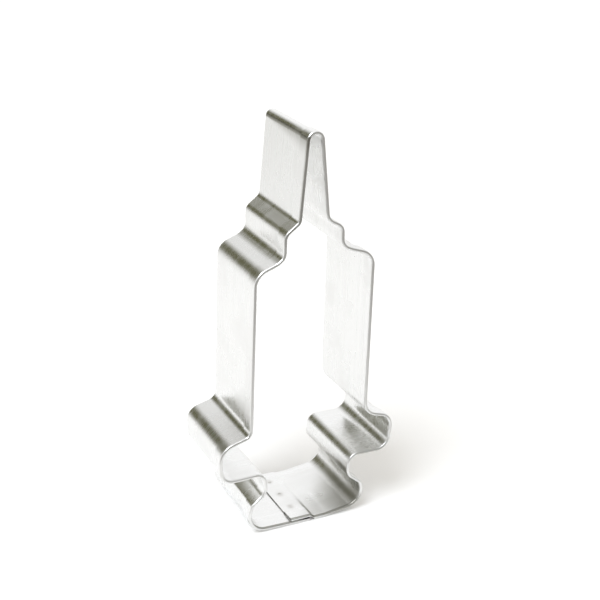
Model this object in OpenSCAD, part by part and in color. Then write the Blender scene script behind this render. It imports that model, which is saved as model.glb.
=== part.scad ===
// Cookie cutter in the outline of a syringe, standing on its thumb rest.
// One strip of tinplate is bent into a closed outline. Its front edge is folded back on the outside as a hem
// for the hand, and its rear edge is left raw to cut the dough. The two ends of the strip lap in the middle
// of the base, where three spot welds hold them.
// X runs across the finger flange, Z up the needle and Y through the depth, from the hem to the cutting edge.
// Widths and heights of the outline are those of the strip's outer face. Heights stack up from the base.

/* [Strip] */
// Depth of the cutter, from the folded edge to the cutting edge
strip_w = 25.4; // [18:0.1:34]
// Thickness of the tinplate
sheet_t = 0.3; // [0.2:0.02:0.4]
// Depth of the hem that is folded back on the outside
hem_w = 4; // [2.5:0.1:5.5]
// Room inside the fold, between the strip and the hem
hem_gap = 0.3; // [0.15:0.05:0.45]

/* [Thumb rest] */
// Length of the level stretch in the middle of the base
base_flat_w = 11; // [10:0.5:14]
// Radius of the slight bends at the ends of the level stretch
base_r = 12; // [6:1:20]
// Width of the thumb rest at its lower corners, before they are rounded
rest_w = 36.2; // [34:0.2:38]
// Width of the thumb rest at its upper corners
rest_top_w = 31.7; // [30:0.1:33]
// Rise of the base towards the lower left corner
base_rise = 0.3; // [0:0.1:1]
// Height of the thumb rest's upper corners above the base
rest_h = 7.7; // [7:0.1:9]
// Radius of the lower corners
rest_low_r = 4.6; // [3:0.1:4.8]
// Radius of the upper corners
rest_top_r = 1.55; // [1:0.05:3]

/* [Neck] */
// Width of the neck at its foot
neck_low_w = 23.7; // [20:0.1:25]
// Width of the neck under the flange
neck_top_w = 25.1; // [20:0.1:26]
// Height of the slope from the thumb rest up to the neck
rest_slope_h = 3.4; // [2:0.1:5]
// Height of the neck above that slope
neck_h = 5.95; // [5.5:0.05:9]
// Radius of the bend at the foot of the neck
neck_low_r = 3.5; // [2:0.1:4]
// Radius of the bend under the flange
neck_top_r = 2.9; // [1.5:0.1:3.2]

/* [Finger flange] */
// Width of the finger flange at its upper corners, before they are rounded
flange_w = 50; // [44:0.5:56]
// Width of the finger flange at its lower corners
flange_low_w = 48.7; // [44:0.1:54]
// Drop from the neck out to the flange's lower corners
flange_drop = 0.2; // [0:0.1:1]
// Height of the flange at its ends
flange_h = 9.35; // [8:0.05:12]
// Rise from the flange's upper corners to the foot of the barrel
flange_rise = 2.5; // [1:0.1:4]
// Radius of the flange's upper corners
flange_top_r = 3.9; // [2:0.1:4.5]
// Radius of the flange's lower corners
flange_low_r = 3.05; // [2:0.05:4]

/* [Barrel] */
// Width of the barrel at its foot
barrel_w = 32.7; // [28:0.1:36]
// Width of the barrel at its shoulder
barrel_top_w = 32.3; // [28:0.1:36]
// Height of the barrel's straight sides
barrel_h = 44.1; // [30:0.1:60]
// Radius of the bend where the barrel meets the flange
barrel_foot_r = 2.5; // [1.5:0.1:4]
// Width over the bend that starts the rounded shoulder
shoulder_in_w = 20.6; // [19.5:0.1:22]
// Rise of the shoulder from its outer to its inner bend
shoulder_rise = 2; // [1:0.1:4]
// Radius of the shoulder's inner bend
shoulder_in_r = 5.2; // [3:0.1:6]
// Radius of the shoulder's outer bend
shoulder_out_r = 4.4; // [2:0.1:5]

/* [Hub] */
// Width of the hub at its foot
hub_low_w = 15.6; // [14:0.1:17]
// Width of the hub at its top
hub_top_w = 15.5; // [14:0.1:17]
// Rise from the shoulder to the foot of the hub
hub_rise = 1.3; // [0.5:0.1:2]
// Height of the hub
hub_h = 5.9; // [5:0.1:9]
// Radius of the bend at the foot of the hub
hub_low_r = 3; // [1.5:0.1:3.2]
// Radius of the bends at the top of the hub
hub_top_r = 2.55; // [1:0.05:3]

/* [Needle] */
// Width of the needle at its foot
needle_w = 7.5; // [6.5:0.1:9]
// Rise from the hub's top bends to the foot of the needle
needle_rise = 2.9; // [2:0.1:4]
// Height of the needle above its foot
needle_h = 22.35; // [16:0.05:30]
// Radius of the bends at the foot of the needle
needle_low_r = 3.15; // [1.5:0.05:3.5]
// Radius of the rounded tip
needle_tip_r = 1.85; // [1.4:0.05:2.4]

/* [Hand bending] */
// How much higher the right shoulder sits than the left one, as bent by hand
right_lift = 1.4; // [0:0.1:2]
// How much higher still the right top of the hub sits
right_hub_lift = 0.6; // [0:0.1:1]
// How much higher the lower right corner of the thumb rest sits
right_base_lift = 1.4; // [0:0.1:2]
// How much larger the bend between barrel and flange is on the right
right_foot_open_r = 1.9; // [0:0.1:2]
// How far the barrel leans to the right at its shoulder
barrel_lean = 0.6; // [0:0.1:1]
// How far the hub sits to the right
hub_shift = 0.2; // [0:0.05:0.5]
// How far the tip of the needle sits to the left
tip_shift = 0.4; // [0:0.05:0.8]

/* [Lap seam] */
// Distance from the middle to the end of the outer, lower layer
under_end = 1; // [0.5:0.1:2]
// Length of the overlap of the two layers
lap_w = 5.6; // [5:0.1:6]
// Length of the step by which the inner layer climbs over the outer one
lap_step_w = 1.2; // [0.8:0.1:2]
// Depth over which the strip slopes down behind its hem, where it lies on the outer layer
lap_slope_w = 1.5; // [1:0.1:2.2]
// Play between the two layers
lap_play = 0.04; // [0.02:0.01:0.1]

/* [Spot welds] */
// Radius of each weld
weld_r = 0.75; // [0.5:0.05:1]
// Distance between welds
weld_pitch = 7; // [5:0.1:7.5]
// Distance from the cutting edge to the nearest weld
weld_edge = 4.7; // [3:0.1:5.2]
// Depth of the electrode's dimple at each end of a weld
weld_dimple = 0.06; // [0.02:0.01:0.1]

/* [Hidden] */
$fn = 64;

// Outer radius of the fold, and the level of the strip's outer face over the floor, where the hem lies under it
fold_r = hem_gap / 2 + sheet_t;
floor_gap = hem_gap + sheet_t;
weld_count = 3;
// Stations along the step of the lap, and chords in its half turn of fold
step_stations = 8;
fold_chords = 16;
// Each straight reaches this far into the bends beside it, and is slimmer than they are by this much on each face
tuck = 0.04;
slim = 0.003;
// Overrun of every cut past the face that it leaves
over = 0.5;

// Heights of the outline's corners, stacked up from the base
rest_top_z = floor_gap + rest_h;
neck_low_z = rest_top_z + rest_slope_h;
neck_top_z = neck_low_z + neck_h;
flange_low_z = neck_top_z - flange_drop;
flange_top_z = flange_low_z + flange_h;
barrel_foot_z = flange_top_z + flange_rise;
shoulder_out_z = barrel_foot_z + barrel_h;
shoulder_in_z = shoulder_out_z + shoulder_rise;
hub_low_z = shoulder_in_z + hub_rise;
hub_top_z = hub_low_z + hub_h;
needle_low_z = hub_top_z + needle_rise;
tip_z = needle_low_z + needle_h;

// The needle's two sides are tangent to the tip's circle, and this is the height at which they would meet
tip_run = tip_z - needle_tip_r - needle_low_z;
needle_half_angle = atan2(needle_w / 2, tip_run) - asin(needle_tip_r / norm([needle_w / 2, tip_run]));
tip_meet_z = tip_z - needle_tip_r + needle_tip_r / sin(needle_half_angle);

// One half of the outline from the needle down to the base, as [half width, height, radius] of each corner
function half_outline(side, lift, hub_lift, base_lift, foot_r) = [
    [side * needle_w / 2, needle_low_z, needle_low_r],
    [side * hub_top_w / 2 + hub_shift, hub_top_z + hub_lift, hub_top_r],
    [side * hub_low_w / 2 + hub_shift, hub_low_z + lift, hub_low_r],
    [side * shoulder_in_w / 2 + barrel_lean, shoulder_in_z + lift, shoulder_in_r],
    [side * barrel_top_w / 2 + barrel_lean, shoulder_out_z + lift, shoulder_out_r],
    [side * barrel_w / 2, barrel_foot_z, foot_r],
    [side * flange_w / 2, flange_top_z, flange_top_r],
    [side * flange_low_w / 2, flange_low_z, flange_low_r],
    [side * neck_top_w / 2, neck_top_z, neck_top_r],
    [side * neck_low_w / 2, neck_low_z, neck_low_r],
    [side * rest_top_w / 2, rest_top_z, rest_top_r],
    [side * rest_w / 2, floor_gap + base_rise + base_lift, rest_low_r],
    [side * base_flat_w / 2, floor_gap, base_r]
];

right_half = half_outline(1, right_lift, right_hub_lift, right_base_lift, barrel_foot_r + right_foot_open_r);
left_half = half_outline(-1, 0, 0, 0, barrel_foot_r);
half_count = len(right_half);
corners = concat(
    [[-tip_shift, tip_meet_z, needle_tip_r]],
    right_half,
    [for (i = [half_count - 1 : -1 : 0]) left_half[i]]
);
corner_count = len(corners);
last_right = half_count;

// The strip is followed clockwise: down the right side, along the base to the left, and up the left side.
function before(i) = (i + corner_count - 1) % corner_count;
function after(i) = (i + 1) % corner_count;
function place(i) = [corners[i].x, corners[i].y];
function run_l(i) = norm(place(after(i)) - place(i));
function heading(i) = let (d = place(after(i)) - place(i)) atan2(d.y, d.x);
function wrapped(a) = a > 180 ? a - 360 : (a < -180 ? a + 360 : a);
function turn(i) = wrapped(heading(i) - heading(before(i)));
// A bend takes this much of the straight on each side of its corner, or less where two bends would meet
function wanted(i) = corners[i].z * tan(abs(turn(i)) / 2);
function ease(i) = 1 / max(
    1,
    (wanted(before(i)) + wanted(i)) / run_l(before(i)),
    (wanted(i) + wanted(after(i))) / run_l(i)
);
function setback(i) = wanted(i) * ease(i);
function bend_r(i) = corners[i].z * ease(i);
function bend_start(i) = place(i) - setback(i) * [cos(heading(before(i))), sin(heading(before(i)))];
function bend_end(i) = place(i) + setback(i) * [cos(heading(i)), sin(heading(i))];

// Half of the fold at the front edge, from the strip's side round to the hem's side
module fold_section(inset) {
    intersection() {
        difference() {
            circle(r = fold_r - inset);
            circle(r = hem_gap / 2 + inset);
        }
        translate([-fold_r, 0])
            square([2 * fold_r, fold_r]);
    }
}

// Cross-section of the strip. Its first axis points away from the outline, with the outer face at zero,
// and its second one points to the folded edge.
module strip_section(inset = 0) {
    translate([inset - sheet_t, inset - strip_w / 2])
        square([sheet_t - 2 * inset, strip_w - fold_r - inset]);
    translate([hem_gap + inset, strip_w / 2 - hem_w + inset])
        square([sheet_t - 2 * inset, hem_w - fold_r - inset]);
    translate([hem_gap / 2, strip_w / 2 - fold_r])
        fold_section(inset);
}

// A straight stretch of the strip that starts at p and runs along the heading. It tucks into what it meets.
module straight(p, along, length, tuck_in = tuck) {
    translate([p.x, p.y, 0])
        rotate([0, 0, along])
            translate([-tuck_in, 0, 0])
                rotate([90, 0, 90])
                    linear_extrude(length + tuck_in + tuck)
                        strip_section(slim);
}

// The bend at corner i, about an axis inside the outline or outside of it
module bend(i) {
    h = heading(before(i));
    a = turn(i);
    side = a > 0 ? 1 : -1;
    c = bend_start(i) + side * bend_r(i) * [-sin(h), cos(h)];
    translate([c.x, c.y, 0])
        rotate([0, 0, a > 0 ? h - 90 : h + 90 + a])
            rotate_extrude(angle = abs(a))
                translate([bend_r(i), 0])
                    if (a > 0) {
                        mirror([1, 0])
                            strip_section();
                    } else {
                        strip_section();
                    }
}

// Behind the hem the inner layer lies on the outer one. In front its hem lies between the two.
lap_rise = sheet_t + lap_play;
lap_hem_rise = lap_rise + hem_gap + sheet_t;
lap_step_start = under_end + lap_play + lap_step_w;
slope_front = strip_w / 2 - hem_w;
slope_rear = slope_front - lap_slope_w;

// Cross-section of the inner layer where it lies on the outer one
module lap_section(inset) {
    outer = -inset;
    inner = inset - sheet_t;
    polygon([
        [outer - lap_rise, inset - strip_w / 2],
        [outer - lap_rise, slope_rear],
        [outer - lap_hem_rise, slope_front],
        [outer - lap_hem_rise, strip_w / 2 - fold_r],
        [inner - lap_hem_rise, strip_w / 2 - fold_r],
        [inner - lap_hem_rise, slope_front],
        [inner - lap_rise, slope_rear],
        [inner - lap_rise, inset - strip_w / 2]
    ]);
    translate([hem_gap - lap_hem_rise + inset, slope_front + inset])
        square([sheet_t - 2 * inset, hem_w - fold_r - inset]);
    translate([hem_gap / 2 - lap_hem_rise, strip_w / 2 - fold_r])
        fold_section(inset);
}

// Points of the cross-section part of the way up the step, share 0 being the level strip and 1 the lap
function rise_at(w) = lap_rise + (lap_hem_rise - lap_rise) * min(1, max(0, (w - slope_rear) / lap_slope_w));
function raised(q, share) = [q.x - share * rise_at(q.y), q.y];
function arc_points(r) = [
    for (k = [0 : fold_chords])
        let (a = 180 - 180 * k / fold_chords)
            [hem_gap / 2 + r * cos(a), strip_w / 2 - fold_r + r * sin(a)]
];
// The two faces of the sheet, followed from the cutting edge round the fold to the end of the hem
outer_rail = concat(
    [[0, -strip_w / 2], [0, slope_rear], [0, slope_front]],
    arc_points(hem_gap / 2),
    [[hem_gap, slope_front]]
);
inner_rail = concat(
    [[-sheet_t, -strip_w / 2], [-sheet_t, slope_rear], [-sheet_t, slope_front]],
    arc_points(fold_r),
    [[hem_gap + sheet_t, slope_front]]
);
rail_count = len(outer_rail);
step_outline = concat(outer_rail, [for (k = [rail_count - 1 : -1 : 0]) inner_rail[k]]);
outline_count = 2 * rail_count;
function smooth(u) = u * u * (3 - 2 * u);
function step_index(j, k) = j * outline_count + (k + outline_count) % outline_count;

// Stations of the step as [distance, share of the rise], with a short level tab before and after the climb
tab_w = 2 * tuck;
stations = concat(
    [[-tab_w, 0]],
    [for (j = [0 : step_stations]) [lap_step_w * j / step_stations, smooth(j / step_stations)]],
    [[lap_step_w + tab_w, 1]]
);
station_last = len(stations) - 1;

// The step in the inner layer, a smooth climb from the level strip onto the lap
module lap_step() {
    points = [
        for (st = stations)
            for (q = step_outline)
                let (e = raised(q, st.y))
                    [st.x, e.x, e.y]
    ];
    sides = [
        for (j = [0 : station_last - 1])
            for (k = [0 : outline_count - 1])
                for (half = [0, 1])
                    half == 0
                        ? [step_index(j, k), step_index(j + 1, k + 1), step_index(j, k + 1)]
                        : [step_index(j, k), step_index(j + 1, k), step_index(j + 1, k + 1)]
    ];
    // Each end is closed by a row of four-sided faces across the thickness of the sheet
    start_cap = [
        for (k = [0 : rail_count - 2])
            [step_index(0, k), step_index(0, k + 1), step_index(0, -k - 2), step_index(0, -k - 1)]
    ];
    end_cap = [
        for (k = [0 : rail_count - 2])
            [
                step_index(station_last, k + 1),
                step_index(station_last, k),
                step_index(station_last, -k - 1),
                step_index(station_last, -k - 2)
            ]
    ];
    polyhedron(points = points, faces = concat(sides, start_cap, end_cap), convexity = 6);
}

// The stretch of base that carries the seam, from the right to the left
module seam_stretch() {
    right_from = bend_end(last_right);
    left_to = bend_start(last_right + 1);
    straight(right_from, 180, right_from.x - lap_step_start - tab_w);
    translate([lap_step_start, floor_gap, 0])
        rotate([0, 0, 180])
            lap_step();
    translate([lap_step_start - lap_step_w - tab_w + tuck, floor_gap, 0])
        rotate([0, 0, 180])
            rotate([90, 0, 90])
                linear_extrude(lap_w + lap_play - tab_w + tuck)
                    lap_section(slim);
    straight([under_end, floor_gap], 180, under_end - left_to.x, 0);
}

// Centre of each weld, in the middle of the overlap
weld_x = under_end - lap_w / 2;
function weld_y(k) = strip_w / 2 - weld_edge - k * weld_pitch;

module weld_bores() {
    for (k = [0 : weld_count - 1])
        translate([weld_x, weld_y(k), floor_gap - over])
            cylinder(r = weld_r, h = lap_rise + sheet_t + 2 * over);
}

module cutter_strip() {
    color("silver")
        difference() {
            rotate([90, 0, 0])
                union() {
                    for (i = [0 : corner_count - 1]) {
                        bend(i);
                        if (i != last_right)
                            straight(bend_end(i), heading(i), norm(bend_start(after(i)) - bend_end(i)));
                    }
                    seam_stretch();
                }
            weld_bores();
        }
}

module spot_welds() {
    color("darkgray")
        for (k = [0 : weld_count - 1])
            translate([weld_x, weld_y(k), floor_gap + weld_dimple])
                cylinder(r = weld_r, h = lap_rise + sheet_t - 2 * weld_dimple);
}

cutter_strip();
spot_welds();
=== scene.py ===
# %% [markdown]
# # A tinplate cookie cutter
# The real object is one strip of bright tinplate, bent into the outline of a syringe. The edge that the
# hand presses on is folded back, and the other edge is left raw to cut the dough. The two ends of the
# strip lap in the base and are held by three spot welds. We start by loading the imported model, which
# fixes where everything is.

# %% Load the frame
import math

import bpy
from mathutils import Matrix, Vector


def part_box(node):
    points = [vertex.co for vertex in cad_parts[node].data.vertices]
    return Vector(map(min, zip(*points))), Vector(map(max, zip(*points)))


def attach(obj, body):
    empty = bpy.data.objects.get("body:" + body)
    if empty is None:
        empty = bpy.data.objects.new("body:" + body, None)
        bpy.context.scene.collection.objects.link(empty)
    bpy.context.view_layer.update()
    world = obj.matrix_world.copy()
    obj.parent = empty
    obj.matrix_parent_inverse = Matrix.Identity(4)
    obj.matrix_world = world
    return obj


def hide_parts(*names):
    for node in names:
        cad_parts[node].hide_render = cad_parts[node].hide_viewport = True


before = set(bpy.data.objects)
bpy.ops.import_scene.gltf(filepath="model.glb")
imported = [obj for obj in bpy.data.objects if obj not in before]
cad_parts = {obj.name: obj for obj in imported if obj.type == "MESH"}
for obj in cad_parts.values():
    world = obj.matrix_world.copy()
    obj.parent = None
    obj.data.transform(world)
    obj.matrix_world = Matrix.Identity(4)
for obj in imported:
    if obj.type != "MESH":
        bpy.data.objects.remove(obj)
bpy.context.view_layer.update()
mm = 0.001
strip_low, strip_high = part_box("cutter_strip")
print("strip box in mm:", [round(v / mm, 2) for v in (*strip_low, *strip_high)])

# %% [markdown]
# The camera comes first, because every later choice is judged through it. It stands in front of the
# cutter, to its left and above it, and looks down on it. Its lens is moderately long, so that the far
# edge of the strip is only a little smaller than the near one.

# %% Camera
CAMERA_PLACE = Vector((-127.88, -266.19, 183.75)) * mm
CAMERA_YAW = 0.4558
CAMERA_PITCH = -0.3963
CAMERA_ROLL = 0.0232
PICTURE_SIZE_PX = 600
FOCAL_LENGTH_PX = 1227.56
SENSOR_WIDTH_MM = 36


def camera_axes(yaw, pitch, roll):
    """Right, up and forward of a camera that is turned to the right, tilted up and then rolled."""
    level_part = math.cos(pitch)
    forward = Vector((math.sin(yaw) * level_part, math.cos(yaw) * level_part, math.sin(pitch)))
    level = Vector((math.cos(yaw), -math.sin(yaw), 0))
    above = level.cross(forward)
    right = level * math.cos(roll) + above * math.sin(roll)
    up = above * math.cos(roll) - level * math.sin(roll)
    return right, up, forward


def add_camera():
    """The scene's camera, at its place and turned as the fit says."""
    lens = bpy.data.cameras.new("camera")
    lens.sensor_width = SENSOR_WIDTH_MM
    lens.lens = SENSOR_WIDTH_MM * FOCAL_LENGTH_PX / PICTURE_SIZE_PX
    lens.clip_start = 10 * mm
    camera = bpy.data.objects.new("camera", lens)
    right, up, forward = camera_axes(CAMERA_YAW, CAMERA_PITCH, CAMERA_ROLL)
    turn = Matrix((right, up, -forward)).transposed().to_4x4()
    camera.matrix_world = Matrix.Translation(CAMERA_PLACE) @ turn
    bpy.context.scene.collection.objects.link(camera)
    bpy.context.scene.camera = camera
    return camera


camera = add_camera()
bpy.context.scene.view_settings.view_transform = "Standard"
print("lens:", round(camera.data.lens, 1), "mm")

# %% [markdown]
# Every node tree is written with the same few helpers. A node is added by its type, and its inputs are
# set or linked by name. Masks are values from 0 to 1. They are made by ramps, and joined by products and
# weighted sums.

# %% Node helpers
def add_node(tree, kind, inputs=None, **settings):
    """Adds a node, sets its properties, and sets or links its inputs, given by name or number."""
    node = tree.nodes.new(kind)
    for name, value in settings.items():
        setattr(node, name, value)
    for key, value in (inputs or {}).items():
        if isinstance(value, bpy.types.NodeSocket):
            tree.links.new(value, node.inputs[key])
        else:
            node.inputs[key].default_value = value
    return node


def calc(tree, operation, *values):
    """A Math node over sockets and numbers, and its result."""
    node = add_node(tree, "ShaderNodeMath", dict(enumerate(values)), operation=operation)
    return node.outputs[0]


def product(tree, first, *others):
    """The product of sockets and numbers."""
    for other in others:
        first = calc(tree, "MULTIPLY", first, other)
    return first


def weighted(tree, *pairs):
    """The sum of masks, each times its weight."""
    total = None
    for mask, weight in pairs:
        part = product(tree, mask, weight)
        total = part if total is None else calc(tree, "ADD", total, part)
    return total


def by_weight(tree, masks, weights):
    """The sum of the masks that are named in the weights."""
    return weighted(tree, *((masks[name], weight) for name, weight in weights.items()))


def distance_from(tree, value, middle):
    """How far a value lies from a middle, to either side."""
    return calc(tree, "ABSOLUTE", calc(tree, "SUBTRACT", value, middle))


def vectors(tree, operation, *values, output=0):
    """A Vector Math node over sockets and vectors, and its result."""
    node = add_node(tree, "ShaderNodeVectorMath", dict(enumerate(values)), operation=operation)
    return node.outputs[output]


def join_axes(tree, **axes):
    """A vector from sockets or numbers for some of its axes."""
    return add_node(tree, "ShaderNodeCombineXYZ", axes).outputs[0]


def split_axes(tree, vector):
    """The three axes of a vector."""
    return add_node(tree, "ShaderNodeSeparateXYZ", {0: vector}).outputs


def ramp(tree, value, low, high, start=0.0, end=1.0, shape="SMOOTHSTEP"):
    """Goes from start to end as value goes from low to high, smoothly unless another shape is named."""
    inputs = {"Value": value, "From Min": low, "From Max": high, "To Min": start, "To Max": end}
    return add_node(tree, "ShaderNodeMapRange", inputs, interpolation_type=shape).outputs[0]


def blend(tree, amount, first, second, how="MIX"):
    """A Mix node over two colours."""
    inputs = {0: amount, 6: first, 7: second}
    return add_node(tree, "ShaderNodeMix", inputs, data_type="RGBA", blend_type=how).outputs[2]


print("helpers for nodes ready")

# %% [markdown]
# A shader node group is how one effect serves several materials, each with its own values. It gets its named
# sockets in one call, and so does a material its empty tree.

# %% Groups and materials
def use_group(tree, group, inputs):
    """The outputs of a shader node group, run with these inputs."""
    return add_node(tree, "ShaderNodeGroup", inputs, node_tree=group).outputs


def new_material(name):
    """An empty material, and its node tree."""
    material = bpy.data.materials.new(name)
    material.use_nodes = True
    material.node_tree.nodes.clear()
    return material, material.node_tree


def new_group(name, inputs, outputs):
    """A shader node group with named sockets, and the outputs of its Group Input node."""
    tree = bpy.data.node_groups.new(name, "ShaderNodeTree")
    for socket_name, kind, value in inputs:
        socket = tree.interface.new_socket(socket_name, in_out="INPUT", socket_type="NodeSocket" + kind)
        if value is not None:
            socket.default_value = value
    for socket_name, kind in outputs:
        tree.interface.new_socket(socket_name, in_out="OUTPUT", socket_type="NodeSocket" + kind)
    return tree, add_node(tree, "NodeGroupInput").outputs


print("helpers for groups ready")

# %% [markdown]
# Bright metal has little colour of its own: it shows the room. Every wall of this cutter is square to its
# front, so the camera sees by way of the walls only a ring of directions behind the cutter. On that ring
# the room is white, but for one dark patch with soft edges, low to the left behind the cutter, which
# draws the olive bands along the bends. The fold of the hem looks the other way, at the dim side of the
# room where the camera stands. The room's tone for a direction is one node group, because the sky and the
# table both need it. Its input Patch says how much of the dark patch shows: all of it in the sky, and
# half of it on the white table.

# %% Room tone
WHITE = (1, 1, 1, 1)
MIDDLE = Vector((0, 0, 50 * mm))
PATCH_OLIVE = (0.055, 0.052, 0.0, 1)
PATCH_AZIMUTH = -27.4
PATCH_ELEVATION = 21.1
PATCH_CORE = 12.0
PATCH_REACH = 37.0
PATCH_FADE_POWER = 0.75
FRONT_GREY = (0.32, 0.315, 0.297, 1)
# Where the grey front starts and is full, on a unit vector: forwards, above the table, and below the lamps
FRONT_FROM_TO = (0.15, -0.5)
ABOVE_FROM_TO = (-0.85, -0.15)
BELOW_FROM_TO = (0.95, 0.6)


def direction(azimuth, elevation):
    """A unit vector that is azimuth degrees to the right of straight back, and elevation degrees up."""
    a, e = math.radians(azimuth), math.radians(elevation)
    return Vector((math.sin(a) * math.cos(e), math.cos(a) * math.cos(e), math.sin(e)))


def room_tone():
    """The room's tone in a direction: white, with one dark patch behind and grey in front."""
    inputs = [("Direction", "Vector", None), ("Patch", "Float", 1.0)]
    tree, given = new_group("room_tone", inputs, [("Tone", "Color")])
    way = vectors(tree, "NORMALIZE", given["Direction"])
    patch_way = direction(PATCH_AZIMUTH, PATCH_ELEVATION)
    off_patch = calc(tree, "ARCCOSINE", vectors(tree, "DOT_PRODUCT", way, patch_way, output=1))
    core, reach = math.radians(PATCH_CORE), math.radians(PATCH_REACH)
    clear = calc(tree, "POWER", ramp(tree, off_patch, core, reach, shape="LINEAR"), PATCH_FADE_POWER)
    darkness = product(tree, calc(tree, "SUBTRACT", 1.0, clear), given["Patch"])
    behind = blend(tree, darkness, WHITE, PATCH_OLIVE)
    axes = split_axes(tree, way)
    in_front = ramp(tree, axes["Y"], *FRONT_FROM_TO)
    above_table = ramp(tree, axes["Z"], *ABOVE_FROM_TO)
    below_lamps = ramp(tree, axes["Z"], *BELOW_FROM_TO)
    tone = blend(tree, product(tree, above_table, below_lamps, in_front), behind, FRONT_GREY)
    add_node(tree, "NodeGroupOutput", {"Tone": tone})
    return tree


room = room_tone()
print("dark patch towards", [round(v, 2) for v in direction(PATCH_AZIMUTH, PATCH_ELEVATION)])

# %% [markdown]
# The table is matt white. It glows a little to the eye and to the metal, and so it is white and still
# keeps the soft shadow. To the metal its colour also takes the room's tone as painted shade, so that its
# far parts turn dim as the room does. Far from the cutter it glows to the eye as bright as the sky, so
# that no edge of the table shows in low views.

# %% Floor
FLOOR_HALF = 4.0
FLOOR_WHITE = (0.86, 0.86, 0.855, 1)
PATCH_ON_TABLE = 0.5
GLOW_TO_EYE = 0.225
GLOW_TO_METAL = 0.06
WHITE_FROM_TO = (0.6, 2.2)
HEM_REAR_Y = -8.7 * mm
SHEET_LEVEL = 0.6 * mm


def ray_kinds(tree):
    """Two masks: rays off glossy or through clear things, and those together with the camera's own."""
    path = add_node(tree, "ShaderNodeLightPath")
    mirrored = calc(tree, "MAXIMUM", path.outputs["Is Glossy Ray"], path.outputs["Is Transmission Ray"])
    return mirrored, calc(tree, "MAXIMUM", path.outputs["Is Camera Ray"], mirrored)


def floor_material():
    """Matt white that glows a little, as bright as the sky in the distance."""
    material, tree = new_material("white_table")
    mirrored, seen = ray_kinds(tree)
    place = add_node(tree, "ShaderNodeNewGeometry").outputs["Position"]
    way = vectors(tree, "SUBTRACT", place, MIDDLE)
    tone = use_group(tree, room, {"Direction": way, "Patch": PATCH_ON_TABLE})["Tone"]
    # To the metal the table's colour is darkened by the room's tone: painted shade
    shown = blend(tree, mirrored, WHITE, tone)
    paint = blend(tree, 1.0, FLOOR_WHITE, shown, "MULTIPLY")
    matt = add_node(tree, "ShaderNodeBsdfDiffuse", {"Color": paint})
    distance = vectors(tree, "LENGTH", place, output=1)
    to_eye = ramp(tree, distance, *WHITE_FROM_TO, GLOW_TO_EYE, 1.0)
    strength = ramp(tree, mirrored, 0.0, 1.0, to_eye, GLOW_TO_METAL, shape="LINEAR")
    glow = add_node(tree, "ShaderNodeEmission", {"Color": shown, "Strength": product(tree, seen, strength)})
    both = add_node(tree, "ShaderNodeAddShader", {0: matt.outputs[0], 1: glow.outputs[0]})
    add_node(tree, "ShaderNodeOutputMaterial", {"Surface": both.outputs[0]})
    return material


def mesh_object(name, points, faces, materials):
    """A mesh object in the scene, from its points and faces."""
    mesh = bpy.data.meshes.new(name)
    mesh.from_pydata(points, [], faces)
    for material in materials:
        mesh.materials.append(material)
    obj = bpy.data.objects.new(name, mesh)
    bpy.context.scene.collection.objects.link(obj)
    return obj


def table_level(y):
    """The cutter leans back a little: it touches the table with its hem in front and its raw edge behind."""
    return (y - HEM_REAR_Y) * SHEET_LEVEL / (strip_high.y - HEM_REAR_Y)


corner_places = [(x * FLOOR_HALF, y * FLOOR_HALF) for x, y in ((-1, -1), (1, -1), (1, 1), (-1, 1))]
floor_points = [(x, y, table_level(y)) for x, y in corner_places]
floor = mesh_object("table", floor_points, [(0, 1, 2, 3)], [floor_material()])
print("table leans by", round(math.degrees(math.atan(table_level(1) - table_level(0))), 2), "degrees")

# %% [markdown]
# Light comes from the whole sky, and from one large soft lamp high to the left, which throws the faint
# shadow to the right behind the base. For the camera the sky is plain white.

# %% Sky and lamp
SKY_FOR_SURFACES = 0.62
SKY_WARM = (1, 0.965, 0.895, 1)
LAMP_COOL = (0.9, 0.935, 1)
LAMP_PLACE = Vector((-1.3, -0.55, 2.15))
LAMP_SIZE = 1.5
LAMP_POWER = 47.0


def sky():
    """White to the camera, the room's tone to the metal, and a warm soft light to all else."""
    world = bpy.data.worlds.new("white_sky")
    world.use_nodes = True
    tree = world.node_tree
    tree.nodes.clear()
    mirrored, seen = ray_kinds(tree)
    way = add_node(tree, "ShaderNodeTexCoord").outputs["Generated"]
    tone = use_group(tree, room, {"Direction": way})["Tone"]
    strength = ramp(tree, seen, 0.0, 1.0, SKY_FOR_SURFACES, 1.0, shape="LINEAR")
    colour = blend(tree, mirrored, blend(tree, seen, SKY_WARM, WHITE), tone)
    glow = add_node(tree, "ShaderNodeBackground", {"Color": colour, "Strength": strength})
    add_node(tree, "ShaderNodeOutputWorld", {"Surface": glow.outputs[0]})
    bpy.context.scene.world = world


def lamp(name, place, size, power):
    """A round soft lamp that points at the cutter's middle."""
    light = bpy.data.lights.new(name, "AREA")
    light.shape = "DISK"
    light.size = size
    light.energy = power
    light.color = LAMP_COOL[:3]
    obj = bpy.data.objects.new(name, light)
    turn = (MIDDLE - place).to_track_quat("-Z", "Y").to_matrix().to_4x4()
    obj.matrix_world = Matrix.Translation(place) @ turn
    bpy.context.scene.collection.objects.link(obj)
    return obj


sky()
lamp("soft_lamp", LAMP_PLACE, LAMP_SIZE, LAMP_POWER)
print("lamp:", LAMP_POWER, "W at", [round(v, 2) for v in LAMP_PLACE])

# %% [markdown]
# The outline is a row of corners, each with the radius of the bend that rounds it, as on a maker's
# drawing of the bending tool. The right side sits a little higher than the left one, and some of its
# bends are rounder or tighter, as bent by hand. The widths and heights are those of the strip's outer
# face.

# %% Outline of the cutter
TIP_R = 1.85 * mm
TIP_SHIFT = 0.4 * mm
BARREL_LEAN = 0.6 * mm
HUB_SHIFT = 0.2 * mm
NEEDLE_TAPER = 0.092
NEEDLE_WIDTH = 7.5
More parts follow.
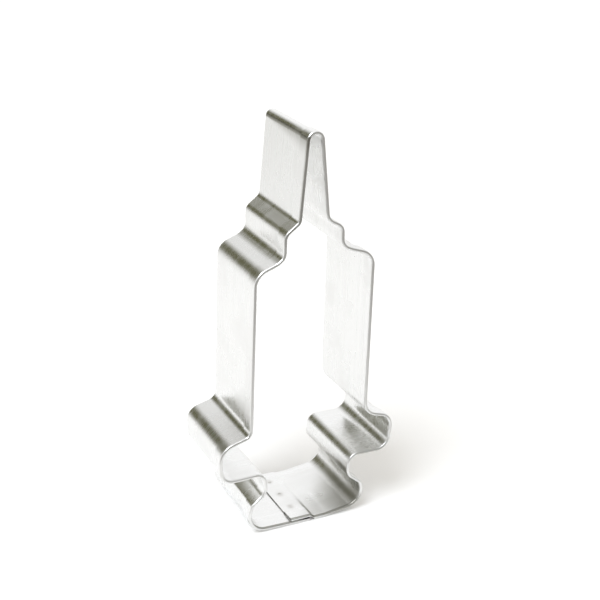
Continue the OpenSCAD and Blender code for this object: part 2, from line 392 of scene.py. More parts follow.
# Heights are stacked up from the base: thumb rest, slope, neck, flange, barrel, shoulder, hub and needle
LEVELS = {"base": SHEET_LEVEL}
for step_name, below, step_rise in (
    ("rest_top", "base", 7.7), ("neck_low", "rest_top", 3.4), ("neck_top", "neck_low", 5.95),
    ("flange_low", "neck_top", -0.2), ("flange_top", "flange_low", 9.35),
    ("barrel_foot", "flange_top", 2.5), ("shoulder_out", "barrel_foot", 44.1),
    ("shoulder_in", "shoulder_out", 2.0), ("hub_low", "shoulder_in", 1.3), ("hub_top", "hub_low", 5.9),
    ("needle_low", "hub_top", 2.9), ("tip", "needle_low", 22.35),
):
    LEVELS[step_name] = LEVELS[below] + step_rise * mm


def half_outline(side, lift=0.0, hub_lift=0.0, base_lift=0.0, foot_r=2.5, needle_r=3.15, needle_lift=0.0,
                 hub_r=3.0, hub_foot=0.0, slope_up=0.0, flange_r=3.9, flange_low_r=3.05, flange_lean=0.0,
                 barrel_out=0.0):
    """Corners of one side from the needle down to the base, as (place, radius). Sizes are in millimetres."""
    rows = (
        ("needle_low", NEEDLE_WIDTH / 2 - NEEDLE_TAPER * needle_lift, 0, needle_lift, needle_r),
        ("hub_top", 15.5 / 2, HUB_SHIFT, hub_lift, 2.55),
        ("hub_low", 15.6 / 2, HUB_SHIFT, lift + hub_foot, hub_r),
        ("shoulder_in", 20.6 / 2, BARREL_LEAN, lift + slope_up, 5.2),
        ("shoulder_out", 32.3 / 2 + barrel_out, BARREL_LEAN, lift, 4.4),
        ("barrel_foot", 32.7 / 2 + barrel_out, 0, 0, foot_r),
        ("flange_top", 49.98 / 2, 0, 0, flange_r),
        ("flange_low", 48.7 / 2 - flange_lean, 0, 0, flange_low_r),
        ("neck_top", 25.1 / 2, 0, 0, 2.9),
        ("neck_low", 23.7 / 2, 0, 0, 3.5),
        ("rest_top", 31.7 / 2, 0, 0, 1.55),
        ("base", 36.2 / 2, 0, 0.3 + base_lift, 4.6),
        ("base", 11 / 2, 0, 0, 12.0),
    )
    return [
        (Vector((side * half * mm + shift, LEVELS[level] + up * mm)), radius * mm)
        for level, half, shift, up, radius in rows
    ]


left_side = half_outline(
    -1, hub_lift=0.18, needle_r=2.0, needle_lift=0.22, hub_r=2.8, hub_foot=0.4, slope_up=0.15, flange_r=4.5,
    barrel_out=-0.1)
right_side = half_outline(
    1, lift=1.4, hub_lift=0.6, base_lift=1.4, foot_r=4.4, flange_low_r=3.6, flange_lean=0.35, barrel_out=0.2)
print("corners:", 2 * len(left_side) + 1, "height:", round(LEVELS["tip"] / mm, 2), "mm")

# %% [markdown]
# The needle's two sides are tangent to the round of its tip, so the corner of the tip is where they would
# meet. Each corner then becomes a run of short steps round an arc. Where two arcs would overlap, both are
# tightened.

# %% Bends
STEP_ANGLE = math.radians(5)
LEAST_STEPS = 6
LEAD = 0.12 * mm
STRAIGHT_STEP = 1.6 * mm
LAP_STEP = 0.2 * mm
LAP_NEAR_X = 5.4 * mm
LAP_NEAR_Z = 2 * mm
UNDER_END = Vector((1.0 * mm, SHEET_LEVEL))
LAP = 5.6 * mm
UPPER_END = UNDER_END - Vector((LAP, 0))


def tip_corner():
    """The corner where the needle's two sides would meet, and the radius of the tip."""
    run = LEVELS["tip"] - TIP_R - LEVELS["needle_low"]
    half_width = NEEDLE_WIDTH / 2 * mm
    half_angle = math.atan2(half_width, run) - math.asin(TIP_R / math.hypot(half_width, run))
    return Vector((-TIP_SHIFT, LEVELS["tip"] - TIP_R + TIP_R / math.sin(half_angle))), TIP_R


def bent_route(ends, corners):
    """Points along the strip from its outer end to its inner one, with short steps round each bend."""
    places = [ends[0]] + [place for place, radius in corners] + [ends[1]]
    wants = [0.0]
    for k, (place, radius) in enumerate(corners, 1):
        turn = (places[k] - places[k - 1]).angle(places[k + 1] - places[k])
        wants.append(radius * math.tan(turn / 2))
    wants.append(0.0)
    runs = [(b - a).length for a, b in zip(places, places[1:])]
    route = [places[0].copy()]
    for k, (place, radius) in enumerate(corners, 1):
        room = max(1, (wants[k - 1] + wants[k]) / runs[k - 1], (wants[k] + wants[k + 1]) / runs[k])
        ahead, behind = (places[k + 1] - place).normalized(), (places[k - 1] - place).normalized()
        start, end = place + behind * wants[k] / room, place + ahead * wants[k] / room
        turn = math.pi - ahead.angle(behind)
        centre = place + (ahead + behind).normalized() * (radius / room) / math.cos(turn / 2)
        steps = max(LEAST_STEPS, math.ceil(turn / STEP_ANGLE))
        sweep = (start - centre).angle_signed(end - centre)
        arc = [centre + Matrix.Rotation(-sweep * j / steps, 2) @ (start - centre) for j in range(steps + 1)]
        if (start - route[-1]).length > 3 * LEAD:
            if k > 1:
                route.append(route[-1] - behind * LEAD)
            route.append(start + behind * LEAD)
            route.append(start)
        route += arc[1:]
    route.append(places[-1].copy())
    return route


def fill_straights(route):
    """Adds points on the long straights, and more of them where the lap climbs."""
    filled = [route[0]]
    for a, b in zip(route, route[1:]):
        near_lap = max(a.y, b.y) < LAP_NEAR_Z and max(abs(a.x), abs(b.x)) < LAP_NEAR_X
        parts = max(1, math.ceil((b - a).length / (LAP_STEP if near_lap else STRAIGHT_STEP)))
        filled += [a.lerp(b, j / parts) for j in range(1, parts + 1)]
    return filled


corners = left_side[::-1] + [tip_corner()] + right_side
route = fill_straights(bent_route((UNDER_END, UPPER_END), corners))
print("points along the strip:", len(route))

# %% [markdown]
# The section of the strip is one line: straight from the raw edge to the fold, half round it, and back
# along the hem. It is drawn down the middle of the sheet, and the sheet gets its thickness at the very
# end, evenly to both sides, as rolled metal has it.

# %% Section of the strip
SHEET = 0.3 * mm
HEM_GAP = 0.3 * mm
HEM = 4.0 * mm
FOLD_R = (HEM_GAP + SHEET) / 2
HEM_LINE_Y = strip_low.y + HEM
FOLD_PLAY = 0.004 * mm
FOLD_AXIS_Y = strip_low.y + HEM_GAP / 2 + SHEET + FOLD_PLAY
FOLD_MIDDLE = strip_high.y - FOLD_AXIS_Y + math.pi * FOLD_R / 2
FLAT_ROWS = 26
FOLD_ROWS = 12
HEM_ROWS = 5


def section_points():
    """Points as (distance out of the outline, place in depth), from the raw edge to the hem's end."""
    flat_run = FOLD_AXIS_Y - strip_high.y
    flat = [(-SHEET / 2, strip_high.y + flat_run * j / FLAT_ROWS) for j in range(FLAT_ROWS + 1)]
    turns = [math.pi * j / FOLD_ROWS for j in range(1, FOLD_ROWS + 1)]
    fold = [(HEM_GAP / 2 - FOLD_R * math.cos(a), FOLD_AXIS_Y - FOLD_R * math.sin(a)) for a in turns]
    hem_run = HEM_LINE_Y - FOLD_AXIS_Y
    hem = [(HEM_GAP + SHEET / 2, FOLD_AXIS_Y + hem_run * j / HEM_ROWS) for j in range(1, HEM_ROWS + 1)]
    return flat + fold + hem


def curve_object(name, points):
    """An open curve of straight steps through the points."""
    curve = bpy.data.curves.new(name, "CURVE")
    curve.dimensions = "3D"
    curve.twist_mode = "MINIMUM"
    spline = curve.splines.new("POLY")
    spline.points.add(len(points) - 1)
    for point, place in zip(spline.points, points):
        point.co = (*place, 1)
    obj = bpy.data.objects.new(name, curve)
    bpy.context.scene.collection.objects.link(obj)
    return obj


section = curve_object("section_line", [(depth, out, 0) for out, depth in section_points()])
route_line = curve_object("route_line", [(p.x, 0, p.y) for p in route])
print("points across the strip:", len(section.data.splines[0].points))

# %% [markdown]
# Geometry Nodes sweep the section along the route, as the maker bends the strip round the tool. The same
# tree lifts the inner layer over the outer one at the lap, more at the hem than behind it, presses the
# three welds in, and ripples the long walls by a hair, as hand-bent tinplate is. A second tree sets the
# welds. Here are the helpers that both of them use.

# %% Tree helpers
def tree_with_inputs(name, inputs):
    """A Geometry Nodes tree with the given inputs, its Group Input node and its output socket."""
    tree = bpy.data.node_groups.new(name, "GeometryNodeTree")
    tree.interface.new_socket("Geometry", in_out="INPUT", socket_type="NodeSocketGeometry")
    for input_name, kind, default in inputs:
        socket = tree.interface.new_socket(input_name, in_out="INPUT", socket_type="NodeSocket" + kind)
        if default is not None:
            socket.default_value = default
    tree.interface.new_socket("Geometry", in_out="OUTPUT", socket_type="NodeSocketGeometry")
    return tree, add_node(tree, "NodeGroupInput").outputs


def run_tree(obj, tree, values=None):
    """Puts the tree on the object, and sets its inputs by their identifiers."""
    modifier = obj.modifiers.new(tree.name, "NODES")
    modifier.node_group = tree
    for item in tree.interface.items_tree:
        if item.in_out == "INPUT" and values and item.name in values:
            modifier[item.identifier] = values[item.name]
    return modifier


def keep_as(tree, geometry, name, value, kind="FLOAT", domain="POINT"):
    """Stores a value on the geometry under a name."""
    inputs = {"Geometry": geometry, "Name": name, "Value": value}
    node = add_node(tree, "GeometryNodeStoreNamedAttribute", inputs, data_type=kind, domain=domain)
    return node.outputs[0]


def kept(tree, name):
    """A value that was stored under a name."""
    return add_node(tree, "GeometryNodeInputNamedAttribute", {"Name": name}, data_type="FLOAT").outputs[0]


def moved(tree, geometry, offset):
    """The geometry with each point moved by its own offset."""
    return add_node(tree, "GeometryNodeSetPosition", {"Geometry": geometry, "Offset": offset}).outputs[0]


def noise(tree, place, output=0, dimensions="3D", **inputs):
    """A Noise Texture at a place: its value, or its colour with output 1."""
    settings = {name.capitalize(): value for name, value in inputs.items()}
    node = add_node(tree, "ShaderNodeTexNoise", {"Vector": place, **settings}, noise_dimensions=dimensions)
    return node.outputs[output]


def end_tree(tree, geometry, material):
    """Smooth faces, plain geometry and one material, as each tree ends."""
    geometry = add_node(tree, "GeometryNodeSetShadeSmooth", {"Geometry": geometry}).outputs[0]
    geometry = add_node(tree, "GeometryNodeRealizeInstances", {"Geometry": geometry}).outputs[0]
    inputs = {"Geometry": geometry, "Material": material}
    geometry = add_node(tree, "GeometryNodeSetMaterial", inputs).outputs[0]
    add_node(tree, "NodeGroupOutput", {"Geometry": geometry})


print("tree helpers ready")

# %% [markdown]
# In the real lap, the inner end climbs over the outer one in a short step, by one thickness of sheet
# behind and by three at the hem, where it has to clear the folded edge. There the maker has pressed its
# own hem nearly shut. The tree does the same with offsets that depend on the place along the strip and
# through its depth. It also raises the crown of the needle a little behind the hem, as the photograph
# shows it.

# %% Sizes of the lap and the welds
PLAY = 0.04 * mm
STEP_LENGTH = 1.2 * mm
RISE_BEHIND = SHEET + PLAY
RISE_AT_HEM = RISE_BEHIND + HEM_GAP + SHEET
STEP_END = LAP + PLAY
WELD_X = UNDER_END.x - LAP / 2
WELD_Z = SHEET_LEVEL + SHEET + PLAY / 2
WELD_FIRST_Y = -6.0 * mm
FOLD_FADE = 0.45 * mm
RIPPLE_SEED = 3.0
# Noise swings by half of one to either side
SWING_SPAN = 2.0
STILL_BELOW_Z = 3 * mm
FREE_ABOVE_Z = 9 * mm

WELD_INPUTS = (
    ("Weld place", "Vector", (WELD_X, WELD_FIRST_Y, WELD_Z)), ("Weld pitch", "Float", 7.0 * mm),
    ("Weld count", "Int", 3), ("Dimple reach", "Float", 0.9 * mm), ("Dimple depth", "Float", 0.06 * mm),
    ("Material", "Material", None),
)
STRIP_INPUTS = (
    ("Section", "Object", None), ("Rise behind", "Float", RISE_BEHIND),
    ("Rise at hem", "Float", RISE_AT_HEM), ("Step start", "Float", STEP_END + STEP_LENGTH),
    ("Step end", "Float", STEP_END), ("Hem line", "Float", HEM_LINE_Y), ("Slope", "Float", 1.5 * mm),
    ("Fold line", "Float", strip_low.y), ("Fold middle", "Float", FOLD_MIDDLE),
    ("Pressed at hem line", "Float", 0.27 * mm),
    ("Pressed at fold", "Float", 0.06 * mm), ("Crown rise", "Float", 0.25 * mm),
    ("Crown foot", "Float", 103 * mm), ("Crown", "Float", 107 * mm), ("Ripple", "Float", 0.02 * mm),
    ("Ripple size", "Float", 14 * mm), ("Heat reach", "Float", 1.5 * mm),
)


print("the inner layer rises by", round(RISE_AT_HEM / mm, 2), "mm at the hem")

# %% [markdown]
# The tree sweeps the section first, and each point keeps its place along and across the strip. Those places
# drive what follows, and in the end they become the flat map that the materials use.

# %% Tree that bends the strip
def weld_points(tree, given):
    """The middles of the three welds, as the points of a short line through the depth."""
    spacing = join_axes(tree, Y=given["Weld pitch"])
    inputs = {"Count": given["Weld count"], "Start Location": given["Weld place"], "Offset": spacing}
    return add_node(tree, "GeometryNodeMeshLine", inputs).outputs[0]


def swept_strip(tree, given):
    """The section swept along the route. Each point keeps its place along and across the strip."""
    place_along = add_node(tree, "GeometryNodeSplineParameter").outputs["Length"]
    whole_length = add_node(tree, "GeometryNodeSplineLength").outputs["Length"]
    line = keep_as(tree, given["Geometry"], "along", place_along)
    line = keep_as(tree, line, "from_end", calc(tree, "SUBTRACT", whole_length, place_along))
    shape = add_node(tree, "GeometryNodeObjectInfo", {"Object": given["Section"]}).outputs["Geometry"]
    shape = keep_as(tree, shape, "across", place_along)
    return add_node(tree, "GeometryNodeCurveToMesh", {"Curve": line, "Profile Curve": shape}).outputs[0]


def lap_and_crown(tree, given, axes):
    """How far each point is lifted, by the step of the lap and by the crown of the needle."""
    climbed = ramp(tree, kept(tree, "from_end"), given["Step start"], given["Step end"])
    slope_rear = calc(tree, "ADD", given["Hem line"], given["Slope"])
    rise = ramp(tree, axes["Y"], slope_rear, given["Hem line"], given["Rise behind"], given["Rise at hem"])
    fold_start = calc(tree, "ADD", given["Fold middle"], FOLD_FADE)
    fold_end = calc(tree, "SUBTRACT", given["Fold middle"], FOLD_FADE)
    inner_layer = ramp(tree, kept(tree, "across"), fold_start, fold_end)
    in_hem = ramp(tree, axes["Y"], slope_rear, given["Hem line"])
    pressed_by = ramp(tree, axes["Y"], given["Hem line"], given["Fold line"], given["Pressed at hem line"],
                      given["Pressed at fold"])
    rise = calc(tree, "SUBTRACT", rise, product(tree, inner_layer, in_hem, pressed_by))
    behind_hem = ramp(tree, axes["Y"], given["Hem line"], calc(tree, "ADD", slope_rear, given["Slope"]))
    near_top = ramp(tree, axes["Z"], given["Crown foot"], given["Crown"])
    crown = product(tree, near_top, behind_hem, given["Crown rise"])
    return calc(tree, "ADD", product(tree, climbed, rise), crown)


def strip_tree():
    """Sweeps the strip, lifts the lap and the crown, presses the welds in and ripples the walls."""
    tree, given = tree_with_inputs("bend_the_strip", STRIP_INPUTS + WELD_INPUTS)
    sheet = swept_strip(tree, given)
    spot = add_node(tree, "GeometryNodeInputPosition").outputs[0]
    axes = split_axes(tree, spot)
    sheet = moved(tree, sheet, join_axes(tree, Z=lap_and_crown(tree, given, axes)))

    near = add_node(tree, "GeometryNodeProximity", {0: weld_points(tree, given)}, target_element="POINTS")
    distance = near.outputs["Distance"]
    sheet = keep_as(tree, sheet, "weld_heat", ramp(tree, distance, given["Heat reach"], 0.0))
    weld_level = split_axes(tree, given["Weld place"])["Z"]
    inwards = calc(tree, "SIGN", calc(tree, "SUBTRACT", weld_level, axes["Z"]))
    pressed = ramp(tree, distance, given["Dimple reach"], 0.0)
    dimple = product(tree, inwards, pressed, given["Dimple depth"])
    sheet = moved(tree, sheet, join_axes(tree, Z=dimple))

    scale = calc(tree, "DIVIDE", 1.0, given["Ripple size"])
    swing = noise(tree, spot, 1, "4D", scale=scale, detail=1.0, w=RIPPLE_SEED)
    swing = vectors(tree, "SUBTRACT", swing, (0.5, 0.5, 0.5))
    amount = product(tree, ramp(tree, axes["Z"], STILL_BELOW_Z, FREE_ABOVE_Z), SWING_SPAN, given["Ripple"])
    ripple = vectors(tree, "MULTIPLY", swing, join_axes(tree, X=amount, Z=amount))
    sheet = moved(tree, sheet, ripple)

    flat_place = join_axes(tree, X=kept(tree, "along"), Y=kept(tree, "across"))
    sheet = keep_as(tree, sheet, "UVMap", flat_place, "FLOAT2", "CORNER")
    end_tree(tree, sheet, given["Material"])
    return tree


bend_the_strip = strip_tree()
print("nodes in the tree:", len(bend_the_strip.nodes))

# %% [markdown]
# Tinplate is steel sheet with a thin coat of tin. It is bright, but never a perfect mirror: rolling
# leaves long faint lines along the strip, and hands leave dull smudges. Three effects are shader node
# groups, because the tin uses two of them more than once, and the cut steel and the welds use some of
# them again at their own scales.

# %% Rolling lines
LINES_FROM_TO = (0.3, 0.7)


def stretched(tree, place, given, across):
    """The place in units of the effect's own length and of its width or spacing."""
    stretch = join_axes(tree, X=calc(tree, "DIVIDE", 1.0, given["Length"]),
                        Y=calc(tree, "DIVIDE", 1.0, given[across]))
    return vectors(tree, "MULTIPLY", place, stretch)


def turned(tree, place, turn):
    """The place on the flat sheet, turned by an angle."""
    inputs = {"Vector": place, "Angle": turn}
    return add_node(tree, "ShaderNodeVectorRotate", inputs, rotation_type="Z_AXIS").outputs[0]


def rolling_lines():
    """Long faint streaks along the first axis, from 0 to 1."""
    tree, given = new_group("rolling_lines", [
        ("Vector", "Vector", None), ("Spacing", "Float", 1.5 * mm), ("Length", "Float", 60 * mm)],
        [("Lines", "Float")])
    place = stretched(tree, given["Vector"], given, "Spacing")
    streaks = noise(tree, place, 0, "2D", scale=1.0, detail=1.0, roughness=0.5)
    add_node(tree, "NodeGroupOutput", {"Lines": ramp(tree, streaks, *LINES_FROM_TO)})
    return tree


rolled = rolling_lines()
print("group:", rolled.name)

# %% [markdown]
# Handling marks are the broad smudges that fingers leave, and a fine grain in the tin. Both are noise in
# the object's own space, so that they run on over the bends without a seam.

# %% Handling marks
SMUDGES_FROM_TO = (0.46, 0.68)
GRAIN_FROM_TO = (0.35, 0.7)


def handling_marks():
    """Broad smudges from hands, and a fine grain, each from 0 to 1."""
    tree, given = new_group("handling_marks", [
        ("Vector", "Vector", None), ("Smudge size", "Float", 9 * mm), ("Grain size", "Float", 0.7 * mm),
        ("Seed", "Float", 0.0)], [("Smudges", "Float"), ("Grain", "Float")])
    outputs = {}
    for name, size, limits in (
        ("Smudges", "Smudge size", SMUDGES_FROM_TO), ("Grain", "Grain size", GRAIN_FROM_TO),
    ):
        scale = calc(tree, "DIVIDE", 1.0, given[size])
        patches = noise(tree, given["Vector"], 0, "4D", w=given["Seed"], scale=scale, detail=3.0,
                        distortion=0.4)
        outputs[name] = ramp(tree, patches, *limits)
    add_node(tree, "NodeGroupOutput", outputs)
    return tree


handled = handling_marks()
print("group:", handled.name)

# %% [markdown]
# Fine scratches come from washing and from lying in a drawer with others. Noise that is stretched very
# long in one direction and cut off high up gives sparse thin lines. The tin uses three sets of them at
# different turns.

# %% Fine scratches
SCRATCHES_FROM_TO = (0.66, 0.8)


def fine_scratches():
    """Sparse thin scratches that run at the given turn to the strip, from 0 to 1."""
    tree, given = new_group("fine_scratches", [
        ("Vector", "Vector", None), ("Turn", "Float", 0.0), ("Width", "Float", 0.35 * mm),
        ("Length", "Float", 14 * mm)], [("Scratches", "Float")])
    place = stretched(tree, turned(tree, given["Vector"], given["Turn"]), given, "Width")
    streaks = noise(tree, place, 0, "2D", scale=1.0, detail=1.0)
    add_node(tree, "NodeGroupOutput", {"Scratches": ramp(tree, streaks, *SCRATCHES_FROM_TO)})
    return tree


scratched = fine_scratches()
print("group:", scratched.name)

# %% [markdown]
# Painted shade and painted dark reflections darken the tin towards the corners of the thumb rest, neck and
# flange near the hem, along the lap's crease, on the fold and under the crown of the needle. Each place
# is a product of soft limits. A limit names an axis or a distance, and says in millimetres where the
# painted shade starts and where it is full. The painted contact shadow along the fold lies where the hem
# and the table nearly touch, and it is thinner in the lap.

# %% Painted shade on the tin
CREASE_X = UPPER_END.x + STEP_END + 0.55 * STEP_LENGTH
CORNER_SLANT = 0.75
CORNER_FLAT_Y = -7 * mm
TOUCHING_PAST_FOLD = 0.85 * mm
LINE_PAST_FOLD = -0.45 * mm
RIGHT_FROM_TO = (8 * mm, 13 * mm)
TOUCHING_AT_RIGHT = 0.3
TOUCHING_IN_LAP = 0.35
TOUCHING_OFF_LAP = 0.8
TAIL_SLOPE = 0.22
TAIL_FOOT = 103.5 * mm
TAIL_TOP = 106.6 * mm
TAIL_AMOUNT = 0.9
UNDER_CROWN_AMOUNT = 0.6
ON_INNER_SHEET = ("past_fold", -0.2, -0.8)
AT_FOLD = ("from_fold", 0.8, 0.3)
# Places of painted shade and painted dark reflections on the tin
# Each place has its weight and its limits
PAINTED_SHADE_PLACES = {
    "thumb_rest": (0.72, ("z", 6, 3), ("to_corner", 7.5, 18)),
    "neck": (0.95, ("x", 8.5, 10.5), ("z", 9, 10.5), ("z", 14.4, 12.8), ("y", -3, -9), ON_INNER_SHEET),
    "rest_end": (0.5225, ("x", 14.6, 15.4), ("z", 3, 4.5), ("z", 9, 8), ("y", -3, -10), ON_INNER_SHEET),
    "flange": (0.4, ("x", 11, 17), ("x", 24, 22.8), ("z", 10, 15), ("z", 28, 26), ("y", 6, -12)),
    "shelf": (0.25, ("x", -16, -17.5), ("z", 25.4, 26.8), ("y", 13, -8)),
    "needle_fold": (0.5, AT_FOLD, ("z", 78, 86), ("z", 107.2, 105), ("x", 1.5, -0.5)),
    "fold_line": (0.85, ("from_line", 0.35, 0.15), ("z", 4, 2.5)),
    "crease": (0.8, ("from_crease", 0.75, 0.15), ("y", -1.5, -10), ("z", 5, 3)),
}


def limited(tree, at, *limits):
    """The product of soft limits, each as (measure, where it starts, where it is full) in millimetres."""
    return product(tree, *(ramp(tree, at[name], start * mm, full * mm) for name, start, full in limits))


def measures(tree, solid, across):
    """The sockets that limits can name: the axes, and distances from the fold and the crease."""
    axes = split_axes(tree, solid)
    at = {"x": axes["X"], "y": axes["Y"], "z": axes["Z"]}
    at["past_fold"] = calc(tree, "SUBTRACT", across, FOLD_MIDDLE)
    at["from_fold"] = calc(tree, "ABSOLUTE", at["past_fold"])
    at["from_touching"] = distance_from(tree, at["past_fold"], TOUCHING_PAST_FOLD)
    at["from_line"] = distance_from(tree, at["past_fold"], LINE_PAST_FOLD)
    at["from_crease"] = distance_from(tree, at["x"], CREASE_X)
    towards_front = product(tree, calc(tree, "MAXIMUM", at["y"], CORNER_FLAT_Y), CORNER_SLANT)
    at["to_corner"] = calc(tree, "SUBTRACT", at["x"], towards_front)
    return at


def painted_contact_shadow(tree, at):
    """Painted contact shadow where the hem nearly touches the table, thinner at the right corner and in the
    lap.
    """
    touching = limited(tree, at, ("from_touching", 0.65, 0.25), ("z", 5, 3))
    touching = product(tree, touching, ramp(tree, at["x"], *RIGHT_FROM_TO, 1.0, TOUCHING_AT_RIGHT))
    off_lap = calc(tree, "MAXIMUM", limited(tree, at, ("x", 0.8, 1.6)), limited(tree, at, ("x", -4.4, -5.2)))
    return weighted(tree, (product(tree, touching, off_lap), TOUCHING_OFF_LAP), (touching, TOUCHING_IN_LAP))


def painted_crown_shade(tree, at):
    """Painted shade under the needle's crown, with a tail down the left wall that grows longer towards the
    hem.
    """
    tail_foot = calc(tree, "ADD", product(tree, at["y"], TAIL_SLOPE), TAIL_FOOT)
    tail = calc(tree, "POWER", ramp(tree, at["z"], tail_foot, TAIL_TOP, shape="LINEAR"), 2.0)
    under_crown = limited(tree, at, ("z", 106, 106.6))
    on_left = limited(tree, at, ("z", 107.3, 106.9), ("x", -1, -1.5))
    return product(tree, weighted(tree, (under_crown, UNDER_CROWN_AMOUNT), (tail, TAIL_AMOUNT)), on_left)


# Weights of the painted shade: the painted contact shadow, the crown's painted shade and each place above
PAINTED_SHADE_WEIGHTS = {"touching": 1.0, "crown": 0.85, **{name: place[0] for name, place in PAINTED_SHADE_PLACES.items()}}
print("places with film:", ", ".join(PAINTED_SHADE_WEIGHTS))

# %% [markdown]
# The tin's colour and its roughness come from the same masks, so that a dull place is also a little
# darker. The heat of the welds leaves a brown-grey halo, kept in an attribute when the strip was bent.
# The fold has been pressed hard, and hands and dough rub it, so it is duller than the walls. The groove
# between the two folds of the lap is painted black, a painted shade where no light is left.

# %% Bright tinplate
TIN = (0.955, 0.957, 0.952, 1)
TIN_DULL = (0.66, 0.652, 0.62, 1)
# Colour of the painted shade and painted dark reflections
PAINTED_SHADE_COLOUR = (0.33, 0.325, 0.29, 1)
HEAT_TINT = (0.36, 0.33, 0.28, 1)
HEAT_AMOUNT = 0.45
# Painted shade in the groove between the folds of the lap
GROOVE_PAINTED_SHADE = (0.02, 0.02, 0.018, 1)
TIN_ROUGHNESS = 0.25
TIN_BUMP = 0.004 * mm
SCRATCH_TURNS = (0.1, 0.9, -0.7)
GROOVE_SINKS_FROM_TO = (1.0 * mm, 2.2 * mm)
GROOVE_LEVEL_FROM_TO = (0.92 * mm, 0.15 * mm)
# How much each mask dulls the colour, roughens the surface and raises it
DULL_BY = {"fine": 0.03, "broad": 0.04, "smudges": 0.08, "scratches": 0.03, "rubbed": 0.2, "grain": 0.02}
ROUGH_BY = {"fine": 0.03, "smudges": 0.07, "rubbed": 0.05, "thumb_rest": 0.05, "heat": 0.12}
HEIGHT_BY = {"fine": 0.35, "broad": 0.9, "grain": 0.1, "scratches": -0.1}


def bump(tree, height, distance):
    """A normal from a height, which spans the given distance."""
    inputs = {"Height": height, "Distance": distance, "Strength": 1.0}
    return add_node(tree, "ShaderNodeBump", inputs).outputs[0]


def metal_surface(tree, colour, roughness, normal):
    """The material's surface, all metal."""
    surface = add_node(tree, "ShaderNodeBsdfPrincipled", {
        "Base Color": colour, "Metallic": 1.0, "Roughness": roughness, "Normal": normal})
    add_node(tree, "ShaderNodeOutputMaterial", {"Surface": surface.outputs[0]})


def painted_groove_shade_mask(tree, at):
    """Painted shade in the groove between the folds of the lap, which sinks to the table where the inner
    layer steps down.
    """
    level = ramp(tree, at["x"], *GROOVE_SINKS_FROM_TO, *GROOVE_LEVEL_FROM_TO)
    at["from_groove"] = distance_from(tree, at["z"], level)
    across = limited(tree, at, ("from_groove", 0.32, 0.16), ("y", -11.8, -12.1))
    return product(tree, across, limited(tree, at, ("x", -3.5, 0.4), ("x", 2.3, 1.9)))


def tinplate_masks(tree):
    """Every mask of the tin by its name, each from 0 to 1."""
    flat = add_node(tree, "ShaderNodeUVMap", uv_map="UVMap").outputs[0]
    solid = add_node(tree, "ShaderNodeTexCoord").outputs["Object"]
    marks = use_group(tree, handled, {"Vector": solid, "Seed": 4.0})
    broad_lines = {"Vector": flat, "Spacing": 2.6 * mm, "Length": 70 * mm}
    masks = {
        "heat": add_node(tree, "ShaderNodeAttribute", attribute_name="weld_heat").outputs["Fac"],
        "fine": use_group(tree, rolled, {"Vector": flat})["Lines"],
        "broad": use_group(tree, rolled, broad_lines)["Lines"],
        "smudges": marks["Smudges"], "grain": marks["Grain"], "scratches": 0.0,
    }
    for turn in SCRATCH_TURNS:
        one_set = use_group(tree, scratched, {"Vector": flat, "Turn": turn})["Scratches"]
        masks["scratches"] = calc(tree, "MAXIMUM", masks["scratches"], one_set)
    at = measures(tree, solid, split_axes(tree, flat)["Y"])
    # Masks of painted shade and painted dark reflections
    for name, (weight, *limits) in PAINTED_SHADE_PLACES.items():
        masks[name] = limited(tree, at, *limits)
    masks["rubbed"] = limited(tree, at, AT_FOLD)
    masks["touching"] = painted_contact_shadow(tree, at)
    masks["crown"] = painted_crown_shade(tree, at)
    masks["groove"] = painted_groove_shade_mask(tree, at)
    return masks


def tinplate_material():
    """Bright tin with rolling lines, marks, scratches, painted shade, heat tint and the painted black shade
    in the lap's groove.
    """
    material, tree = new_material("bright_tinplate")
    masks = tinplate_masks(tree)
    colour = blend(tree, by_weight(tree, masks, DULL_BY), TIN, TIN_DULL)
    # The painted shade and painted dark reflections darken the tin here
    painted_shade = calc(tree, "MINIMUM", by_weight(tree, masks, PAINTED_SHADE_WEIGHTS), 1.0)
    colour = blend(tree, painted_shade, colour, PAINTED_SHADE_COLOUR)
    colour = blend(tree, product(tree, masks["heat"], HEAT_AMOUNT), colour, HEAT_TINT)
    # The groove between the folds is painted black as shade
    colour = blend(tree, masks["groove"], colour, GROOVE_PAINTED_SHADE)
    roughness = calc(tree, "ADD", by_weight(tree, masks, ROUGH_BY), TIN_ROUGHNESS)
    metal_surface(tree, colour, roughness, bump(tree, by_weight(tree, masks, HEIGHT_BY), TIN_BUMP))
    return material


tinplate = tinplate_material()
print("material:", tinplate.name, "with", len(tinplate.node_tree.nodes), "nodes")

# %% [markdown]
# Where the sheet was cut, at the raw edge, at the hem's end and at the strip's two ends, the steel inside
# shows. Shears leave it grey, with streaks through the thickness, and hands leave a few smudges on it.

# %% Cut steel
CUT_STEEL = (0.5, 0.49, 0.47, 1)
CUT_DARK = (0.3, 0.29, 0.27, 1)
CUT_ROUGHNESS = 0.35
CUT_BUMP = 0.01 * mm


def cut_steel_material():
    """Grey steel, streaked through the thickness of the sheet."""
    material, tree = new_material("cut_steel")
    flat = add_node(tree, "ShaderNodeUVMap", uv_map="UVMap").outputs[0]
    solid = add_node(tree, "ShaderNodeTexCoord").outputs["Object"]
    streaks = use_group(tree, rolled, {
        "Vector": turned(tree, flat, math.pi / 2), "Spacing": 0.2 * mm, "Length": 20 * mm})["Lines"]
    marks = use_group(tree, handled, {"Vector": solid, "Smudge size": 5 * mm, "Seed": 7.0})
    colour = blend(tree, weighted(tree, (streaks, 0.5), (marks["Smudges"], 0.4)), CUT_STEEL, CUT_DARK)
    rough = weighted(tree, (streaks, 0.15), (marks["Grain"], 0.1), (1.0, CUT_ROUGHNESS))
    metal_surface(tree, colour, rough, bump(tree, streaks, CUT_BUMP))
    return material


cut_steel = cut_steel_material()
print("material:", cut_steel.name)

